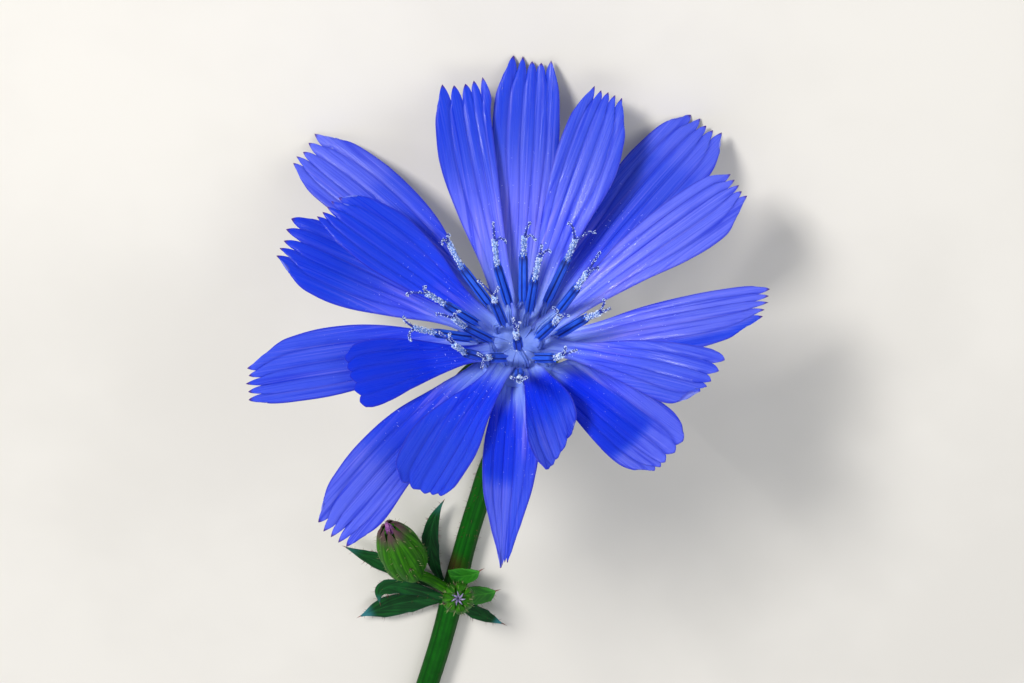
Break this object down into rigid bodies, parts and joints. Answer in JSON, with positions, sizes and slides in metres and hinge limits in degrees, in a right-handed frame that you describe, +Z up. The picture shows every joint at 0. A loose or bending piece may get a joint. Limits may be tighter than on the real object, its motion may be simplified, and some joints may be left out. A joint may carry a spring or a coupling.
{
  "type": "chicory flower",
  "caption": "Cut blue chicory flower laid on its side: a ring of toothed strap petals round dark anther tubes, on a short green stem with a leafy node and buds.",
  "frame": {"origin": "centre of the bounding box on the table that the flower lies on", "axes": "+Z up from the table; +Y along the laid flower, from the stem's cut end to the head; +X to the right as seen from the stem's end"},
  "size_m": [0.0412, 0.0958, 0.0304],
  "materials": {
    "petal_blue": "satin",
    "anther_blue": "satin",
    "involucre_green": "matte",
    "receptacle_pale": "matte",
    "stem_green": "matte",
    "leaf_green": "matte",
    "bud_green": "matte",
    "bud_petals": "matte"
  },
  "bodies": {
    "root": {"floret_01": "petal_blue", "floret_02": "petal_blue", "floret_03": "petal_blue", "floret_04": "petal_blue", "floret_05": "petal_blue", "floret_06": "petal_blue", "floret_07": "petal_blue", "floret_08": "petal_blue", "floret_09": "petal_blue", "floret_10": "petal_blue", "floret_11": "petal_blue", "floret_12": "petal_blue", "floret_13": "petal_blue", "floret_14": "petal_blue", "floret_15": "petal_blue", "floret_16": "petal_blue", "floret_17": "petal_blue", "column_01": "anther_blue", "column_02": "anther_blue", "column_03": "anther_blue", "column_04": "anther_blue", "column_05": "anther_blue", "column_06": "anther_blue", "column_07": "anther_blue", "column_08": "anther_blue", "column_09": "anther_blue", "column_10": "anther_blue", "column_11": "anther_blue", "column_12": "anther_blue", "column_13": "anther_blue", "column_14": "anther_blue", "column_15": "anther_blue", "column_16": "anther_blue", "column_17": "anther_blue", "involucre": "involucre_green", "receptacle": "receptacle_pale", "stem": "stem_green", "leaf_up": "leaf_green", "leaf_left": "leaf_green", "leaf_low_left": "leaf_green", "leaf_hooked": "leaf_green", "bract_upper_right": "leaf_green", "bract_right": "leaf_green", "bract_low_right": "leaf_green", "bud_large": "bud_green", "bud_small": "bud_green", "bud_large_petals": "bud_petals", "bud_small_petals": "bud_petals"}
  },
  "joints": []
}
